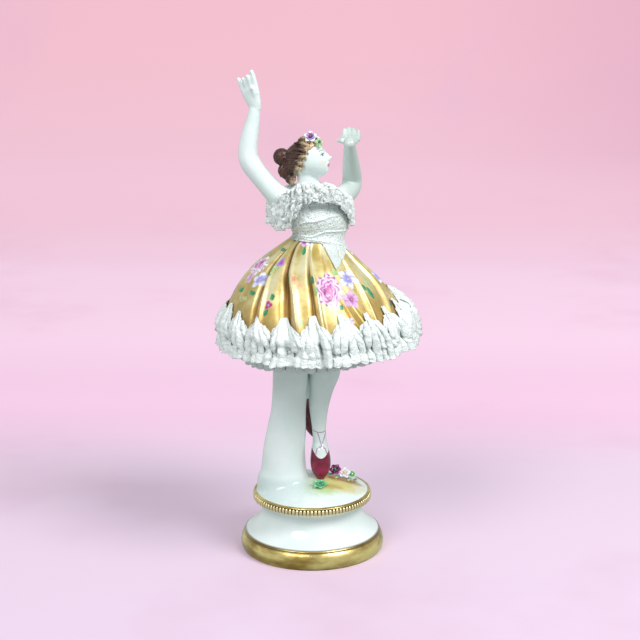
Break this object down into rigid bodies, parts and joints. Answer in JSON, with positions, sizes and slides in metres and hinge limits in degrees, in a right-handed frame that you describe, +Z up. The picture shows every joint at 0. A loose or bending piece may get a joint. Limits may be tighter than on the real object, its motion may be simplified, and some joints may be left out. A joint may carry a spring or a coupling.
{
  "type": "porcelain figurine",
  "caption": "Porcelain dancer on one toe on a round turned plinth with a support beside the legs, raised arms, a gilded skirt painted with flowers, and lace ruffles.",
  "frame": {"origin": "centre of the plinth's flat underside", "axes": "+Z up, -Y to the plinth's front, the side that the picture shows, +X to its right"},
  "size_m": [0.0955, 0.0951, 0.2296],
  "materials": {
    "plinth_porcelain": "clear glazed hard porcelain, gilded at the foot and the bead ring",
    "dancer_porcelain": "clear glazed porcelain with a gilded, flower-painted skirt",
    "lace_porcelain": "porcelain lace, satin",
    "flower_porcelain": "hand-made porcelain flowers, painted and glazed",
    "leaf_porcelain": "hand-made porcelain leaves, painted and glazed"
  },
  "bodies": {
    "root": {"plinth": "plinth_porcelain", "dancer": "dancer_porcelain", "lace_collar": "lace_porcelain", "hem_flounce": "lace_porcelain", "petticoat": "lace_porcelain", "hair_flowers": "flower_porcelain", "mound_flowers": "flower_porcelain", "mound_leaf": "leaf_porcelain"}
  },
  "joints": []
}
